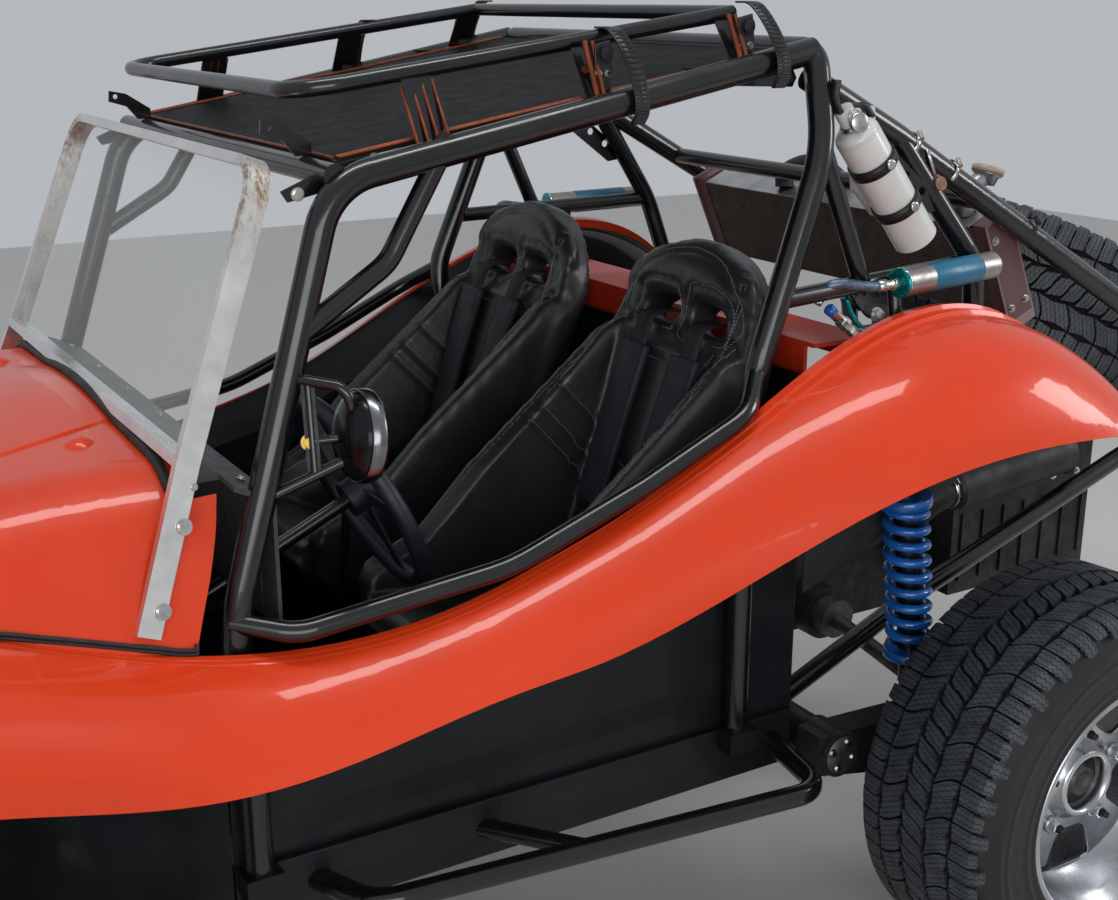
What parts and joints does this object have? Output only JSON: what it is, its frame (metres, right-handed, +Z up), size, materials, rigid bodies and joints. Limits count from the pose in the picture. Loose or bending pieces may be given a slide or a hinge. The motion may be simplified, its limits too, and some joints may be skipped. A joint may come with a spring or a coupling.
{
  "type": "dune buggy",
  "caption": "Open two-seat dune buggy with a glass-fibre body, a tube roll cage with roof rack, bucket seats, coil-sprung rear arms, steered front wheels and a spare wheel",
  "frame": {"origin": "on the ground, midway along the overall length and on the centre line", "axes": "+X forward, +Y to the driver's left side, +Z up"},
  "size_m": [3.85, 2, 1.7565],
  "materials": {
    "orange_glass_fibre": "high gloss gel coat",
    "anodised_aluminium": "satin, weathered",
    "windshield_glass": "clear",
    "black_painted_steel": "satin",
    "black_powder_coat": "semi-gloss",
    "black_mesh": "fine ribbed mesh",
    "black_vinyl": "grained, soft sheen",
    "black_webbing": "woven",
    "steering_wheel_grip": "smooth",
    "cast_steel": "rough",
    "tyre_rubber": "matte",
    "polished_aluminium": "polished",
    "blue_powder_coat": "gloss",
    "cast_aluminium": "as cast",
    "dark_exhaust_steel": "matte",
    "white_enamel": "gloss",
    "chrome": "polished",
    "red_lens": "gloss",
    "grey_dash": "satin"
  },
  "bodies": {
    "chassis": {"body_shell": "orange_glass_fibre", "rear_bulkhead": "orange_glass_fibre", "hood": "orange_glass_fibre", "windshield_frame": "anodised_aluminium", "windshield_glass": "windshield_glass", "floor_pan": "black_painted_steel", "side_panels": "black_painted_steel", "cage_main_hoop": "black_powder_coat", "cage_front_hoops": "black_powder_coat", "cage_door_rails": "black_powder_coat", "cage_stays": "black_powder_coat", "cage_shelf_tubes": "black_powder_coat", "cage_cross_tubes": "black_powder_coat", "roof_panel": "black_mesh", "roof_rack": "black_powder_coat", "rack_brackets": "black_powder_coat", "seats": "black_vinyl", "seat_mounts": "black_painted_steel", "harnesses": "black_webbing", "steering_column": "black_painted_steel", "front_beam": "black_painted_steel", "front_shocks": "black_painted_steel", "spare_tyre": "tyre_rubber", "spare_rim": "polished_aluminium", "trailing_arms": "black_painted_steel", "coil_springs": "blue_powder_coat", "shock_absorbers": "polished_aluminium", "drive_shafts": "cast_steel", "engine_block": "cast_aluminium", "transaxle": "cast_aluminium", "muffler": "dark_exhaust_steel", "radiator": "black_painted_steel", "shock_reservoirs": "anodised_aluminium", "fire_extinguisher": "white_enamel", "side_bars": "black_powder_coat", "front_bumper": "black_powder_coat", "rear_frame": "black_powder_coat", "headlamps": "chrome", "tail_lamps": "red_lens", "foot_controls": "black_painted_steel", "side_mirror": "black_powder_coat", "dash_panel": "grey_dash"},
    "steering_wheel": {"steering_wheel": "steering_wheel_grip"},
    "knuckle_left": {"knuckle_left": "cast_steel"},
    "knuckle_right": {"knuckle_right": "cast_steel"},
    "tie_rod": {"tie_rod": "cast_steel"},
    "wheel_front_left": {"tyre_front_left": "tyre_rubber", "rim_front_left": "polished_aluminium"},
    "wheel_front_right": {"tyre_front_right": "tyre_rubber", "rim_front_right": "polished_aluminium"},
    "wheel_rear_left": {"tyre_rear_left": "tyre_rubber", "rim_rear_left": "polished_aluminium"},
    "wheel_rear_right": {"tyre_rear_right": "tyre_rubber", "rim_rear_right": "polished_aluminium"}
  },
  "joints": [
    {"name": "steer_left", "type": "hinge", "parent": "chassis", "child": "knuckle_left", "pos_m": [1.34, 0.6, 0.4], "axis": [0, 0, 1], "range_deg": [-30, 30]},
    {"name": "steer_right", "type": "hinge", "parent": "chassis", "child": "knuckle_right", "pos_m": [1.34, -0.6, 0.4], "axis": [0, 0, 1], "range_deg": [-30, 30]},
    {"name": "tie_rod_pivot", "type": "hinge", "parent": "knuckle_left", "child": "tie_rod", "pos_m": [1.2, 0.6, 0.505], "axis": [0, 0, 1], "range_deg": [-30, 30]},
    {"name": "steering_wheel_turn", "type": "hinge", "parent": "chassis", "child": "steering_wheel", "pos_m": [0.402, 0.31, 0.98], "axis": [-0.9068, 0, 0.4216], "range_deg": [-270, 270]},
    {"name": "spin_front_left", "type": "hinge", "parent": "knuckle_left", "child": "wheel_front_left", "pos_m": [1.34, 0.79, 0.345], "axis": [0, 1, 0], "continuous": true},
    {"name": "spin_front_right", "type": "hinge", "parent": "knuckle_right", "child": "wheel_front_right", "pos_m": [1.34, -0.79, 0.345], "axis": [0, 1, 0], "continuous": true},
    {"name": "spin_rear_left", "type": "hinge", "parent": "chassis", "child": "wheel_rear_left", "pos_m": [-0.76, 0.85, 0.385], "axis": [0, 1, 0], "continuous": true},
    {"name": "spin_rear_right", "type": "hinge", "parent": "chassis", "child": "wheel_rear_right", "pos_m": [-0.76, -0.85, 0.385], "axis": [0, 1, 0], "continuous": true}
  ],
  "couplings": [
    {"joint": "steer_right", "follows": "steer_left", "ratio": 1},
    {"joint": "tie_rod_pivot", "follows": "steer_left", "ratio": -1},
    {"joint": "steering_wheel_turn", "follows": "steer_left", "ratio": 9}
  ]
}
